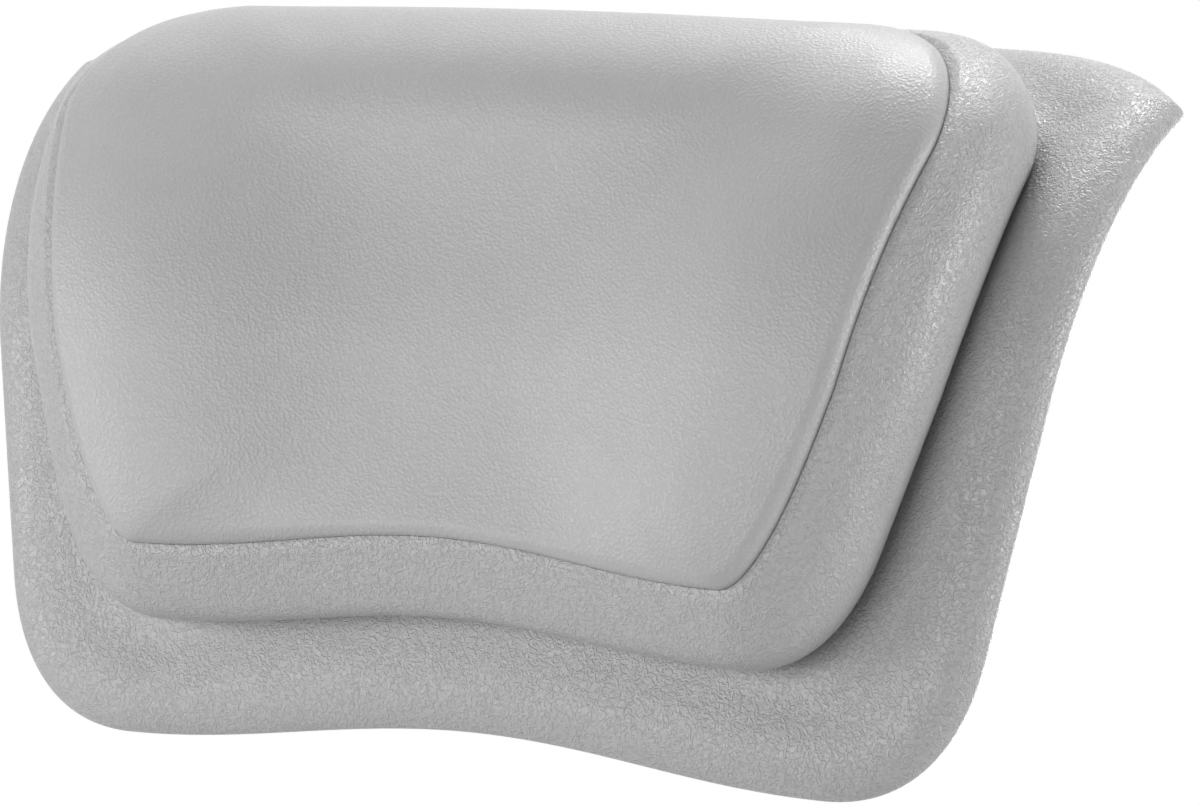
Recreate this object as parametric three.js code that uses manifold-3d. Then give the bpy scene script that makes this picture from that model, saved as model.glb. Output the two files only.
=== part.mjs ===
// A bath pillow: a moulded foam headrest that stands on a tub's inner wall and curls over its rim.
// X runs to the right, Y runs back to the wall and Z runs up, in millimetres.
// The origin lies on the wall plane, in the middle of the four suction cups.
import * as THREE from 'three';
import { mergeVertices } from 'three/addons/utils/BufferGeometryUtils.js';
import Module from 'manifold-3d';

// Gaps between pieces
const FIT = 0.3;
const WALL_GAP = 0.8;
const POCKET_CLEARANCE = 0.6;

// Back face: flat on the wall, then rolled over the rim
const CURL_START = 114.2;
const CURL_RADIUS = 100.3;

// Base flange
const FLANGE_THICKNESS = 7.4;
const FLANGE_EDGE = 3;
const FLANGE_ROLL = 13;
const FLANGE_CREST = 3;
const FLANGE_VALLEY = 36;
const FLANGE_ARCH = 9.6;
const FLANGE_LOBE = 115.9;
const FLANGE_HALF = 154;
const FLANGE_LEAN = 0.179;
const FLANGE_CORNER = 44.6;
const FLANGE_DRAW = 5.7;
const FLANGE_ROLL_REACH = 2.2;
const EAR_HEIGHT = 216.2;
const LIP_CROWN = 61.8;
const LIP_POWER = 3.4;

// Body collar: the rounded flank between the flange and the head pad
const COLLAR_FOOT = 34.6;
const COLLAR_ARCH = 7.5;
const COLLAR_LOBE = 95.8;
const COLLAR_HALF = 121.5;
const COLLAR_LEAN = 0.3227;
const COLLAR_CORNER = 36.2;
const COLLAR_DRAW = 23.8;
const COLLAR_SHOULDER_START = 178.5;
const COLLAR_SHOULDER_WIDTH = 48.5;
const COLLAR_BACK = 222.1;
const COLLAR_NOSE = 20.7;
const COLLAR_NOSE_BACK = 13.1;
const COLLAR_TUCK = 10.5;
const FLANK_REACH = 0.5;
const FLANK_SLOPE = 0.24;
const NOSE_RISE = 0.63;

// Head pad: its outline, the crease it sits in, and its dished face
const PAD_FOOT = 56.3;
const PAD_ARCH = 8.5;
const PAD_LOBE = 95.7;
const PAD_HALF = 108.7;
const PAD_LEAN = 0.3305;
const PAD_CORNER = 46.5;
const PAD_DRAW = 3.9;
const PAD_SHOULDER_START = 161.9;
const PAD_SHOULDER_WIDTH = 34;
const PAD_BACK = 203.8;
const PAD_THICKNESS = 7;
const PAD_RIM = 3;
const PAD_RIM_ROUND = 2.6;
const CREASE_CORNER = 41.4;
const CREASE_WAIST = 42.9;
const CREASE_WAIST_AT = 131.8;
const CREASE_DIP = 9;
const CREASE_DIP_REACH = 23.2;
const CREASE_DIP_HALF = 120;
const HOLLOW_AT = 116;
const HOLLOW_HEIGHT = 28;
const BOLSTER_AT = 179.5;
const BOLSTER_HEIGHT = 18.1;
const BOLSTER_RADIUS = 35.7;
const BOLSTER_JOIN = 163;
const DISH_BEND = 1.3;
const CREST_AT = 0.8;
const CREST_RISE = 3;
const CREST_BLEND = 4;
const BORDER_BEND = 1.8;

// Neck core: the soft foam bar inside the bolster
const CORE_LENGTH = 205;
const CORE_WIDTH = 32;
const CORE_FLOOR = 15;
const CORE_ROUND = 6;

// Suction cups in two columns and two rows
const CUP_COLUMN = 80;
const CUP_LOWER = 62;
const CUP_UPPER = 97;
const CUP_RADIUS = 14;
const CUP_LIP_WIDTH = 2.4;
const CUP_LIP_THICKNESS = 1.1;
const CUP_HOLLOW = 2.8;
const CUP_HUB_RADIUS = 6;
const CUP_NECK_RADIUS = 3;
const CUP_HEAD_RADIUS = 4.8;
const CUP_HEAD_THICKNESS = 2.6;
const CUP_TAB_REACH = 3.2;
const CUP_TAB_WIDTH = 7;
const CUP_TAB_THICKNESS = 0.7;

// Cup plate and the bushes that hold the cups in it
const PLATE_THICKNESS = 2.5;
const PLATE_MARGIN_X = 26;
const PLATE_MARGIN_Z = 13;
const PLATE_CORNER = 12;
const PLATE_WINDOW_WIDTH = 84;
const PLATE_WINDOW_HEIGHT = 34;
const BUSH_BODY_RADIUS = 5.5;
const BUSH_FLANGE_RADIUS = 7.5;
const BUSH_FLANGE_THICKNESS = 1.2;

// Pulls of the outline curves, as shares of the stretch they shape
const ARCH_PULL = 0.364;
const LOBE_PULL = 0.69;
const CORNER_PULL = 0.6;
const SHOULDER_PULL = 0.44;

// Power by which the rim's own height fades from the edge to the middle of the pad
const RIM_SPREAD = 4;

// Facet counts
const ARCH_STEPS = 4;
const CORNER_STEPS = 6;
const SIDE_STEPS = 6;
const SHOULDER_STEPS = 5;
const BACK_STEPS = 3;
const ROUND_STEPS = 20;
const ROOM_STEPS = 10;
const ARC_STEPS = 10;
const ROOM_ARC_STEPS = 3;
const CORE_STEPS = 28;

// Worked-out places
const CUP_MID = (CUP_LOWER + CUP_UPPER) / 2;
const POCKET_RADIUS = CUP_RADIUS + CUP_TAB_REACH + POCKET_CLEARANCE;
const PLATE_BACK = FLANGE_THICKNESS + FIT;
const PLATE_FRONT = PLATE_BACK + PLATE_THICKNESS;
const BUSH_BACK = PLATE_BACK - FIT - BUSH_FLANGE_THICKNESS;
const BUSH_FRONT = PLATE_FRONT + FIT + BUSH_FLANGE_THICKNESS;
const HEAD_BACK = BUSH_FRONT + FIT;
const HEAD_FRONT = HEAD_BACK + CUP_HEAD_THICKNESS;
const PAD_FOOT_CENTRE = PAD_FOOT + PAD_ARCH;

const FLANGE = {
  foot: 0, arch: FLANGE_ARCH, lobe: FLANGE_LOBE, half: FLANGE_HALF,
  lean: FLANGE_LEAN, corner: FLANGE_CORNER, draw: FLANGE_DRAW,
};
const COLLAR = {
  foot: COLLAR_FOOT, arch: COLLAR_ARCH, lobe: COLLAR_LOBE, half: COLLAR_HALF,
  lean: COLLAR_LEAN, corner: COLLAR_CORNER, draw: COLLAR_DRAW,
  shoulderStart: COLLAR_SHOULDER_START, shoulderWidth: COLLAR_SHOULDER_WIDTH, back: COLLAR_BACK,
};
const PAD = {
  foot: PAD_FOOT, arch: PAD_ARCH, lobe: PAD_LOBE, half: PAD_HALF,
  lean: PAD_LEAN, corner: PAD_CORNER, draw: PAD_DRAW,
  shoulderStart: PAD_SHOULDER_START, shoulderWidth: PAD_SHOULDER_WIDTH, back: PAD_BACK,
};

const wasm = await Module();
wasm.setup();

// A point u across, s up along the back face and h out from it
function place(u, s, h) {
  const turn = Math.max(0, s - CURL_START) / CURL_RADIUS;
  const reach = CURL_RADIUS + h;
  const y = CURL_RADIUS - reach * Math.cos(turn);
  const z = Math.min(s, CURL_START) + reach * Math.sin(turn);
  return new THREE.Vector3(u, y - WALL_GAP, z - CUP_MID);
}

function smoothstep(value, low, high) {
  return THREE.MathUtils.smoothstep(value, low, high);
}

// Half-width of a tier at a given height: a straight lean, drawn in where the curl begins
function sideOf(tier, s) {
  const turn = Math.max(0, s - CURL_START) / CURL_RADIUS;
  return tier.half + tier.lean * (s - tier.foot) - tier.draw * turn ** 2;
}

function bezier(from, pullFrom, pullTo, to, steps) {
  const curve = new THREE.CubicBezierCurve(from, pullFrom, pullTo, to);
  return curve.getPoints(steps).slice(1);
}

// Right half of a tier's outline up to the top of its side: arched foot, round corner, leaning side
function lowerOutline(tier, sideTop) {
  const archPull = ARCH_PULL * tier.lobe;
  const top = new THREE.Vector2(0, tier.foot + tier.arch);
  const lobe = new THREE.Vector2(tier.lobe, tier.foot);
  const cornerTop = tier.foot + tier.corner;
  const corner = new THREE.Vector2(sideOf(tier, cornerTop), cornerTop);
  const lobePull = LOBE_PULL * (sideOf(tier, tier.foot) - tier.lobe);
  const cornerPull = CORNER_PULL * tier.corner;
  const points = [top];
  points.push(...bezier(
    top, new THREE.Vector2(archPull, top.y), new THREE.Vector2(tier.lobe - archPull, lobe.y), lobe, ARCH_STEPS));
  points.push(...bezier(
    lobe, new THREE.Vector2(tier.lobe + lobePull, lobe.y),
    new THREE.Vector2(corner.x - tier.lean * cornerPull, corner.y - cornerPull), corner, CORNER_STEPS));
  for (let i = 1; i <= SIDE_STEPS; i++) {
    const s = THREE.MathUtils.lerp(cornerTop, sideTop, i / SIDE_STEPS);
    points.push(new THREE.Vector2(sideOf(tier, s), s));
  }
  return points;
}

function mirrorOutline(half) {
  const left = half.slice(1, -1).reverse();
  return half.concat(left.map((point) => new THREE.Vector2(-point.x, point.y)));
}

// Closed outline of a cushion tier, with round shoulders and a straight back edge
function tierOutline(tier) {
  const half = lowerOutline(tier, tier.shoulderStart);
  const side = half[half.length - 1];
  const rise = SHOULDER_PULL * (tier.back - side.y);
  const flat = side.x - tier.shoulderWidth;
  const below = sideOf(tier, side.y - 1);
  const shoulderEnd = new THREE.Vector2(flat, tier.back);
  half.push(...bezier(
    side, new THREE.Vector2(side.x + (side.x - below) * rise, side.y + rise),
    new THREE.Vector2(flat + SHOULDER_PULL * tier.shoulderWidth, tier.back), shoulderEnd, SHOULDER_STEPS));
  for (let i = 1; i <= BACK_STEPS; i++) {
    half.push(new THREE.Vector2(flat * (1 - i / BACK_STEPS), tier.back));
  }
  return mirrorOutline(half);
}

// Closed outline of the flange, whose back edge is a crowned lip between two ear tips
function flangeOutline() {
  const half = lowerOutline(FLANGE, EAR_HEIGHT);
  const tip = half[half.length - 1];
  const steps = SHOULDER_STEPS + BACK_STEPS;
  for (let i = 1; i <= steps; i++) {
    const across = Math.cos((i / steps) * Math.PI / 2);
    half.push(new THREE.Vector2(tip.x * across, EAR_HEIGHT + LIP_CROWN * (1 - across ** LIP_POWER)));
  }
  half[half.length - 1].x = 0;
  return mirrorOutline(half);
}

// The outline moved inward by a distance along its own normals
function insetOutline(outline, distance) {
  const count = outline.length;
  return outline.map((point, i) => {
    const before = outline[(i + count - 1) % count];
    const after = outline[(i + 1) % count];
    const into = point.clone().sub(before).normalize();
    const out = after.clone().sub(point).normalize();
    const along = into.clone().add(out).normalize();
    const mitre = Math.min(1.5, 1 / Math.max(0.5, along.dot(out)));
    return new THREE.Vector2(point.x - along.y * distance * mitre, point.y + along.x * distance * mitre);
  });
}

function shrinkOutline(outline, centre, share) {
  return outline.map((point) => centre.clone().lerp(point, share));
}

// One ring of a stacked solid: its outline and the height of each of its points
function ring(outline, heightOf) {
  return outline.map((point, i) => place(point.x, point.y, heightOf(point.x, point.y, i)));
}

// Closed geometry through stacked rings, with a point at each end
function ringGeometry(firstPoint, rings, lastPoint) {
  const count = rings[0].length;
  const points = [firstPoint, ...rings.flat(), lastPoint];
  const index = [];
  for (let j = 0; j < count; j++) {
    const next = (j + 1) % count;
    index.push(0, 1 + next, 1 + j);
    for (let i = 0; i + 1 < rings.length; i++) {
      const low = 1 + i * count;
      const high = low + count;
      index.push(low + j, low + next, high + next);
      index.push(low + j, high + next, high + j);
    }
    const last = 1 + (rings.length - 1) * count;
    index.push(points.length - 1, last + j, last + next);
  }
  const geometry = new THREE.BufferGeometry().setFromPoints(points);
  geometry.setIndex(index);
  return geometry;
}

function toSolid(geometry) {
  const bare = geometry.clone();
  bare.deleteAttribute('normal');
  bare.deleteAttribute('uv');
  const merged = mergeVertices(bare, 1e-4);
  const mesh = new wasm.Mesh({
    numProp: 3,
    vertProperties: Float32Array.from(merged.attributes.position.array),
    triVerts: Uint32Array.from(merged.index.array),
  });
  mesh.merge();
  return new wasm.Manifold(mesh);
}

function toGeometry(solid) {
  const mesh = solid.getMesh();
  const geometry = new THREE.BufferGeometry();
  geometry.setAttribute('position', new THREE.BufferAttribute(Float32Array.from(mesh.vertProperties), 3));
  geometry.setIndex(Array.from(mesh.triVerts));
  return geometry;
}

// Height of the crease between pad and collar along the sides
function sideCrease(s) {
  const away = (s - CREASE_WAIST_AT) / (CREASE_WAIST_AT - PAD_FOOT);
  return CREASE_WAIST + (CREASE_CORNER - CREASE_WAIST) * away ** 2;
}

// Height of the round bolster, a circle about a centre line above the curled back face
function bolsterHeight(s) {
  const centre = CURL_RADIUS + BOLSTER_HEIGHT;
  const turn = (s - BOLSTER_AT) / CURL_RADIUS;
  const aside = centre * Math.sin(turn);
  const rise = Math.sqrt(Math.max(0, BOLSTER_RADIUS ** 2 - aside ** 2));
  return centre * Math.cos(turn) + rise - CURL_RADIUS;
}

// Fall of the crease behind the shoulders, down to the bolster's own surface at the back edge
function backDrop(s) {
  const whole = sideCrease(PAD_BACK) + PAD_RIM - bolsterHeight(PAD_BACK);
  const share = Math.max(0, s - PAD_SHOULDER_START) / (PAD_BACK - PAD_SHOULDER_START);
  return whole * share ** 2;
}

// Height of the crease anywhere: it dips at the middle of the foot and falls at the back
function creaseHeight(u, s) {
  const across = Math.max(0, 1 - (u / CREASE_DIP_HALF) ** 2) ** 2;
  const near = Math.exp(-(((s - PAD_FOOT) / CREASE_DIP_REACH) ** 2));
  return sideCrease(s) - CREASE_DIP * across * near - backDrop(s);
}

// Height of the pad's face on the centre line: flared foot, hollow for the head, then the bolster
function padCentreHeight(s) {
  if (s < HOLLOW_AT) {
    const edge = creaseHeight(0, PAD_FOOT_CENTRE) + PAD_RIM;
    const away = (HOLLOW_AT - s) / (HOLLOW_AT - PAD_FOOT_CENTRE);
    return HOLLOW_HEIGHT + (edge - HOLLOW_HEIGHT) * away ** 2;
  }
  if (s > BOLSTER_JOIN) {
    return bolsterHeight(s);
  }
  const span = BOLSTER_JOIN - HOLLOW_AT;
  const t = (s - HOLLOW_AT) / span;
  const slope = bolsterHeight(BOLSTER_JOIN + 0.5) - bolsterHeight(BOLSTER_JOIN - 0.5);
  const blend = t * t * (3 - 2 * t);
  const pull = slope * span * (t ** 3 - t ** 2);
  return THREE.MathUtils.lerp(HOLLOW_HEIGHT, bolsterHeight(BOLSTER_JOIN), blend) + pull;
}

// Height of the pad's face anywhere: dished across the hollow, with a crest along each side that
// rolls down to the rim
function padFace(u, s) {
  const centre = padCentreHeight(s);
  const edge = sideCrease(s) + PAD_RIM - backDrop(s);
  const side = edge + CREST_RISE;
  const crest = Math.max(centre, side)
    + CREST_BLEND * Math.log1p(Math.exp(-Math.abs(centre - side) / CREST_BLEND));
  const across = Math.min(1, Math.abs(u) / sideOf(PAD, s));
  const inner = Math.min(1, across / CREST_AT) ** DISH_BEND;
  const outer = Math.max(0, across - CREST_AT) / (1 - CREST_AT);
  const face = THREE.MathUtils.lerp(centre, crest, inner * inner * (3 - 2 * inner));
  return face - (crest - edge) * outer ** BORDER_BEND;
}

const padEdge = tierOutline(PAD);
const padCentre = new THREE.Vector2(0, (PAD_FOOT_CENTRE + PAD_BACK) / 2);
const PAD_SHARES = [0.94, 0.87, 0.79, 0.66, 0.48, 0.24];
const PAD_UNDER_SHARES = [0.24, 0.48, 0.66, 0.79, 0.88];

// A ring of the pad's face, whose height runs into the rim towards the edge
function padRing(share, drop) {
  const outline = shrinkOutline(padEdge, padCentre, share);
  return ring(outline, (u, s, i) => {
    const { x, y } = padEdge[i];
    const miss = creaseHeight(x, y) + PAD_RIM - padFace(x, y);
    return padFace(u, s) + miss * share ** RIM_SPREAD - drop;
  });
}

function padGeometry(grow) {
  const top = -grow;
  const bottom = PAD_THICKNESS + grow;
  const edgeRing = (inset, height) => ring(
    insetOutline(padEdge, inset - grow),
    (u, s, i) => creaseHeight(padEdge[i].x, padEdge[i].y) + height);
  const rings = [
    ...PAD_UNDER_SHARES.map((share) => padRing(share, bottom)),
    edgeRing(PAD_RIM_ROUND + grow, PAD_RIM - bottom),
    edgeRing(0, PAD_RIM - bottom + PAD_RIM_ROUND),
    edgeRing(0, PAD_RIM - PAD_RIM_ROUND),
    edgeRing(0.3 * PAD_RIM_ROUND, PAD_RIM - 0.3 * PAD_RIM_ROUND),
    edgeRing(PAD_RIM_ROUND, PAD_RIM - top),
    ...PAD_SHARES.map((share) => padRing(share, top)),
  ];
  const crown = padFace(padCentre.x, padCentre.y);
  return ringGeometry(
    place(padCentre.x, padCentre.y, crown - bottom), rings, place(padCentre.x, padCentre.y, crown - top));
}

// Where the flange's rolled edge ends: a depth in from its outline, measured toward its middle
function rolledLimit(edge, centre, depth) {
  const count = edge.length;
  return edge.map((point, i) => {
    const along = edge[(i + 1) % count].clone().sub(edge[(i + count - 1) % count]).normalize();
    const inward = centre.clone().sub(point).normalize();
    const reach = Math.min(FLANGE_ROLL_REACH, 1 / Math.abs(along.cross(inward)));
    return point.clone().addScaledVector(inward, depth * reach);
  });
}

// Height of the flange's front at a depth in from its edge: a roll, a crest, then the plain sheet
function flangeFront(depth) {
  const crest = FLANGE_THICKNESS + FLANGE_CREST;
  if (depth < FLANGE_ROLL) {
    return THREE.MathUtils.lerp(FLANGE_EDGE, crest, Math.sqrt(1 - (1 - depth / FLANGE_ROLL) ** 2));
  }
  const fall = Math.min(1, (depth - FLANGE_ROLL) / (FLANGE_VALLEY - FLANGE_ROLL));
  return FLANGE_THICKNESS + FLANGE_CREST * (1 + Math.cos(Math.PI * fall)) / 2;
}

// Flange sheet with a full rolled edge, grown all over by a clearance
function flangeGeometry(grow) {
  const edge = flangeOutline();
  const centre = new THREE.Vector2(0, CURL_START);
  const back = rolledLimit(edge, centre, FLANGE_EDGE);
  const valley = rolledLimit(edge, centre, FLANGE_VALLEY);
  const quarter = Math.PI / 2;
  const backRing = (share) => ring(shrinkOutline(back, centre, share), () => -grow);
  const edgeRing = (turn) => ring(
    back.map((point, i) => point.clone().lerp(edge[i], (1 + grow / FLANGE_EDGE) * Math.sin(turn))),
    () => FLANGE_EDGE - (FLANGE_EDGE + grow) * Math.cos(turn));
  const frontRing = (depth) => ring(
    rolledLimit(edge, centre, depth - grow), () => flangeFront(depth) + grow);
  const sheetRing = (share) => ring(
    shrinkOutline(valley, centre, share), () => FLANGE_THICKNESS + grow);
  const rings = [
    ...[0.17, 0.33, 0.5, 0.67, 0.83].map(backRing),
    ...[0, 0.5, 1].map((share) => edgeRing(share * quarter)),
    ...[0.33, 0.67, 1].map((share) => frontRing(FLANGE_ROLL * (1 - Math.cos(share * quarter)))),
    ...[0.5, 1].map((share) => frontRing(THREE.MathUtils.lerp(FLANGE_ROLL, FLANGE_VALLEY, share))),
    ...[0.8, 0.6, 0.4, 0.2].map(sheetRing),
  ];
  return ringGeometry(
    place(0, centre.y, -grow), rings, place(0, centre.y, FLANGE_THICKNESS + grow));
}

// Round-ended slot through the flange behind each column of cups
function pocketGeometry(x) {
  const shape = new THREE.Shape();
  shape.absarc(x, CUP_UPPER - CUP_MID, POCKET_RADIUS, 0, Math.PI, false);
  shape.absarc(x, CUP_LOWER - CUP_MID, POCKET_RADIUS, Math.PI, 2 * Math.PI, false);
  return frontExtrusion(shape, -FLANGE_THICKNESS, 3 * FLANGE_THICKNESS, ARC_STEPS);
}

// A shape drawn in X and Z, extruded to the front from a height above the flange's back
function frontExtrusion(shape, from, depth, steps) {
  const geometry = new THREE.ExtrudeGeometry(shape, { depth, bevelEnabled: false, curveSegments: steps });
  geometry.rotateX(Math.PI / 2);
  geometry.translate(0, -WALL_GAP - from, 0);
  return geometry;
}

// A profile of radius and height above the flange's back, turned about a cup's axis
function turnedGeometry(profile, steps) {
  const points = profile.map(([radius, height]) => new THREE.Vector2(radius, height));
  const geometry = new THREE.LatheGeometry(points, steps);
  geometry.rotateX(Math.PI);
  geometry.translate(0, -WALL_GAP, 0);
  return geometry;
}

function roundedRectangle(target, halfWidth, halfHeight, radius) {
  const round = Math.min(radius, halfWidth, halfHeight);
  target.absarc(halfWidth - round, halfHeight - round, round, 0, Math.PI / 2, false);
  target.absarc(round - halfWidth, halfHeight - round, round, Math.PI / 2, Math.PI, false);
  target.absarc(round - halfWidth, round - halfHeight, round, Math.PI, 1.5 * Math.PI, false);
  target.absarc(halfWidth - round, round - halfHeight, round, 1.5 * Math.PI, 2 * Math.PI, false);
  return target;
}

// Stiff plate with a foam window and bush holes, grown all over by a clearance
function plateGeometry(grow, holes, steps) {
  const halfWidth = CUP_COLUMN + PLATE_MARGIN_X + grow;
  const halfHeight = (CUP_UPPER - CUP_LOWER) / 2 + PLATE_MARGIN_Z + grow;
  const shape = roundedRectangle(new THREE.Shape(), halfWidth, halfHeight, PLATE_CORNER);
  shape.holes.push(roundedRectangle(
    new THREE.Path(), PLATE_WINDOW_WIDTH / 2 - grow, PLATE_WINDOW_HEIGHT / 2 - grow, PLATE_CORNER));
  for (const { x, z } of holes) {
    shape.holes.push(new THREE.Path().absarc(x, z, BUSH_BODY_RADIUS + FIT, 0, 2 * Math.PI, false));
  }
  return frontExtrusion(shape, PLATE_BACK - grow, PLATE_THICKNESS + 2 * grow, steps);
}

// Foam bar under the bolster, grown all over by a clearance; its top runs into the pad
function coreGeometry(grow) {
  const radius = CORE_WIDTH / 2 + grow;
  const reach = CORE_LENGTH / 2 - CORE_WIDTH / 2;
  const shape = new THREE.Shape();
  shape.absarc(reach, BOLSTER_AT, radius, -Math.PI / 2, Math.PI / 2, false);
  shape.absarc(-reach, BOLSTER_AT, radius, Math.PI / 2, 1.5 * Math.PI, false);
  shape.closePath();
  const edge = shape.getSpacedPoints(CORE_STEPS).slice(0, -1);
  const centre = new THREE.Vector2(0, BOLSTER_AT);
  const floor = CORE_FLOOR - grow;
  const topHeight = (u, s) => padFace(u, s) - PAD_THICKNESS / 2;
  const rings = [
    ring(shrinkOutline(edge, centre, 0.4), () => floor),
    ring(insetOutline(edge, CORE_ROUND), () => floor),
    ring(insetOutline(edge, 0.3 * CORE_ROUND), () => floor + 0.3 * CORE_ROUND),
    ring(edge, () => floor + CORE_ROUND),
    ring(edge, topHeight),
    ring(shrinkOutline(edge, centre, 0.7), topHeight),
    ring(shrinkOutline(edge, centre, 0.35), topHeight),
  ];
  return ringGeometry(place(0, BOLSTER_AT, floor), rings, place(0, BOLSTER_AT, topHeight(0, BOLSTER_AT)));
}

// The collar before anything is cut from it: tucked foot, round nose, flank up to the crease
function collarGeometry() {
  const nose = tierOutline(COLLAR);
  const floor = FLANGE_THICKNESS / 2;
  const footRing = (share) => ring(
    shrinkOutline(insetOutline(nose, COLLAR_TUCK), padCentre, share), () => floor);
  const noseHeight = nose.map(({ y }) => THREE.MathUtils.lerp(
    COLLAR_NOSE, COLLAR_NOSE_BACK, smoothstep(y, PAD_SHOULDER_START, COLLAR_BACK)));
  const tuckRing = (turn) => ring(
    insetOutline(nose, COLLAR_TUCK * (1 - Math.cos(turn))),
    (u, s, i) => THREE.MathUtils.lerp(noseHeight[i], floor, Math.sin(turn)));
  const flankRing = ({ x: out, y: up }) => ring(
    padEdge.map((point, i) => point.clone().lerp(nose[i], out)),
    (u, s, i) => THREE.MathUtils.lerp(noseHeight[i], creaseHeight(padEdge[i].x, padEdge[i].y), up));
  const flank = new THREE.CubicBezierCurve(
    new THREE.Vector2(0, 1), new THREE.Vector2(FLANK_REACH, 1 - FLANK_SLOPE),
    new THREE.Vector2(1, NOSE_RISE), new THREE.Vector2(1, 0));
  const quarter = Math.PI / 2;
  const seat = PAD_THICKNESS / 2;
  const rings = [
    footRing(0.5),
    ...[1, 0.66, 0.33].map((share) => tuckRing(share * quarter)),
    ...[1, 0.75, 0.45, 0].map((share) => flankRing(flank.getPoint(share))),
    ...PAD_SHARES.map((share) => padRing(share, seat)),
  ];
  const top = padFace(padCentre.x, padCentre.y) - seat;
  return ringGeometry(
    place(padCentre.x, padCentre.y, floor), rings, place(padCentre.x, padCentre.y, top));
}

// Suction cup: hollow dome with a flat sealing lip, a neck and a mushroom head, and a release tab
function cupGeometry() {
  const wall = -WALL_GAP;
  const hubTop = BUSH_BACK - FIT;
  const domeTop = wall + CUP_HOLLOW + CUP_LIP_THICKNESS;
  const domeMid = (CUP_RADIUS + CUP_HUB_RADIUS) / 2;
  const cup = toSolid(turnedGeometry([
    [0, wall + CUP_HOLLOW],
    [CUP_HUB_RADIUS, wall + 0.8 * CUP_HOLLOW],
    [CUP_RADIUS - CUP_LIP_WIDTH, wall],
    [CUP_RADIUS, wall],
    [CUP_RADIUS, wall + CUP_TAB_THICKNESS],
    [CUP_RADIUS - CUP_TAB_THICKNESS, wall + CUP_LIP_THICKNESS],
    [domeMid, wall + 0.7 * CUP_HOLLOW + CUP_LIP_THICKNESS],
    [CUP_HUB_RADIUS, domeTop],
    [CUP_HUB_RADIUS, hubTop],
    [CUP_NECK_RADIUS, hubTop],
    [CUP_NECK_RADIUS, HEAD_BACK],
    [CUP_HEAD_RADIUS, HEAD_BACK],
    [CUP_HEAD_RADIUS, (HEAD_BACK + HEAD_FRONT) / 2],
    [CUP_NECK_RADIUS, HEAD_FRONT],
    [0, HEAD_FRONT],
  ], ROUND_STEPS));
  const tab = new THREE.Shape();
  tab.moveTo(CUP_TAB_WIDTH / 2, CUP_LIP_WIDTH / 2 - CUP_RADIUS);
  tab.lineTo(-CUP_TAB_WIDTH / 2, CUP_LIP_WIDTH / 2 - CUP_RADIUS);
  tab.absellipse(0, -CUP_RADIUS, CUP_TAB_WIDTH / 2, CUP_TAB_REACH, Math.PI, 2 * Math.PI, false);
  return toGeometry(cup.add(toSolid(frontExtrusion(tab, wall, CUP_TAB_THICKNESS, ROOM_ARC_STEPS))));
}

// Flanged bush that grips the plate's hole and turns round the cup's neck
function bushGeometry() {
  const bore = CUP_NECK_RADIUS + FIT;
  const grooveBack = PLATE_BACK - FIT;
  const grooveFront = PLATE_FRONT + FIT;
  return turnedGeometry([
    [bore, BUSH_BACK],
    [BUSH_FLANGE_RADIUS, BUSH_BACK],
    [BUSH_FLANGE_RADIUS, grooveBack],
    [BUSH_BODY_RADIUS, grooveBack],
    [BUSH_BODY_RADIUS, grooveFront],
    [BUSH_FLANGE_RADIUS, grooveFront],
    [BUSH_FLANGE_RADIUS, BUSH_FRONT],
    [bore, BUSH_FRONT],
    [bore, BUSH_BACK],
  ], ROUND_STEPS);
}

// Room in the collar for a bush's front flange and a cup's head
function headRoomGeometry(x, z) {
  const radius = BUSH_FLANGE_RADIUS + POCKET_CLEARANCE;
  const geometry = turnedGeometry([
    [0, PLATE_BACK],
    [radius, PLATE_BACK],
    [radius, HEAD_FRONT + FIT],
    [0, HEAD_FRONT + FIT],
  ], ROOM_STEPS);
  geometry.translate(x, 0, z);
  return geometry;
}

function cutAll(solid, geometries) {
  return geometries.reduce((rest, geometry) => rest.subtract(toSolid(geometry)), solid);
}

const foam = { roughness: 0.62, metalness: 0 };
const finishes = {
  flange: () => new THREE.MeshStandardMaterial({ color: 0xa8a8a8, ...foam }),
  collar: () => new THREE.MeshStandardMaterial({ color: 0xacacac, ...foam }),
  pad: () => new THREE.MeshStandardMaterial({ color: 0xb0b0b0, ...foam }),
  core: () => new THREE.MeshStandardMaterial({ color: 0xd9d6cc, roughness: 0.9, metalness: 0 }),
  plate: () => new THREE.MeshStandardMaterial({ color: 0x55585c, roughness: 0.5, metalness: 0 }),
  bush: () => new THREE.MeshStandardMaterial({ color: 0x33363a, roughness: 0.6, metalness: 0 }),
  cup: () => new THREE.MeshStandardMaterial({ color: 0xc9ced2, roughness: 0.25, metalness: 0 }),
};

function namedMesh(name, geometry, finish) {
  const mesh = new THREE.Mesh(geometry, finishes[finish]());
  mesh.name = name;
  return mesh;
}

const stations = [];
for (const [row, height] of [['upper', CUP_UPPER], ['lower', CUP_LOWER]]) {
  for (const [column, x] of [['left', -CUP_COLUMN], ['right', CUP_COLUMN]]) {
    stations.push({ name: `${row}_${column}`, x, z: height - CUP_MID, upper: row === 'upper' });
  }
}

const flange = cutAll(toSolid(flangeGeometry(0)), [-CUP_COLUMN, CUP_COLUMN].map(pocketGeometry));
const collar = cutAll(toSolid(collarGeometry()), [
  flangeGeometry(FIT),
  padGeometry(FIT),
  coreGeometry(FIT),
  plateGeometry(FIT, [], ROOM_ARC_STEPS),
  ...stations.map(({ x, z }) => headRoomGeometry(x, z)),
]);
const core = cutAll(toSolid(coreGeometry(0)), [padGeometry(FIT)]);

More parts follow.
